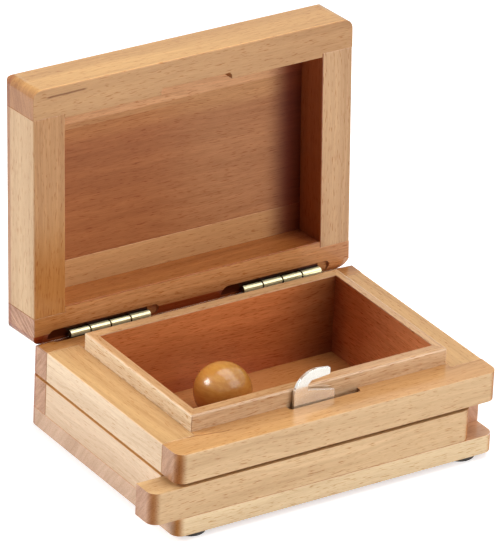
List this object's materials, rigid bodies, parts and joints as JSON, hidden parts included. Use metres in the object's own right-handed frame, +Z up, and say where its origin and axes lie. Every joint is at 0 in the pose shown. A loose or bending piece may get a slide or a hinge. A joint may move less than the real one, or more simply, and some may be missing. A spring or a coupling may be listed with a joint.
{
  "type": "puzzle box",
  "caption": "Wooden puzzle box with a hinged lid, held shut by a steel hook on a hidden sliding front bar, with a tray and a loose ball inside.",
  "frame": {"origin": "middle of the space the part takes up as it stands with the lid open and the bar slid left, at the underside of the feet", "axes": "+X along the front, towards the right; +Y from the front to the hinge side; +Z up"},
  "size_m": [0.1614, 0.1358, 0.1458],
  "materials": {
    "beech": "satin lacquer",
    "beech_pale": "satin lacquer",
    "beech_red": "satin lacquer",
    "honey_wood": "gloss lacquer",
    "steel": "polished",
    "brass": "polished",
    "rubber": "matt"
  },
  "bodies": {
    "base": {"bottom_board": "beech", "back_board": "beech", "left_side_board": "beech_pale", "right_side_board": "beech_pale", "frame_front_rail": "beech", "frame_back_rail": "beech", "frame_left_rail": "beech_pale", "frame_right_rail": "beech_pale", "tray_front_wall": "beech_red", "tray_back_wall": "beech_red", "tray_left_wall": "beech_red", "tray_right_wall": "beech_red", "left_hinge_base_leaf": "brass", "left_hinge_pin": "brass", "right_hinge_base_leaf": "brass", "right_hinge_pin": "brass", "foot_front_left": "rubber", "foot_front_right": "rubber", "foot_back_left": "rubber", "foot_back_right": "rubber"},
    "bar": {"slide_bar": "beech", "bar_tongue": "beech_pale", "latch_hook": "steel", "latch_screws": "steel"},
    "lid": {"lid_front_rail": "beech", "lid_back_rail": "beech", "lid_left_rail": "beech_pale", "lid_right_rail": "beech_pale", "lid_panel": "beech_red", "lid_panel_strip": "beech", "lid_catch_pin": "steel", "left_hinge_lid_leaf": "brass", "right_hinge_lid_leaf": "brass"},
    "ball": {"ball": "honey_wood"}
  },
  "joints": [
    {"name": "lid_hinge", "type": "hinge", "parent": "base", "child": "lid", "pos_m": [0.0057, 0.03947, 0.0386], "axis": [1, 0, 0], "range_deg": [0, 93.5]},
    {"name": "bar_slide", "type": "slide", "parent": "base", "child": "bar", "axis": [1, 0, 0], "range_m": [0, 0.0114]},
    {"name": "ball_roll", "type": "slide", "parent": "base", "child": "ball", "axis": [1, 0, 0], "range_m": [-0.0304, 0.058]}
  ]
}
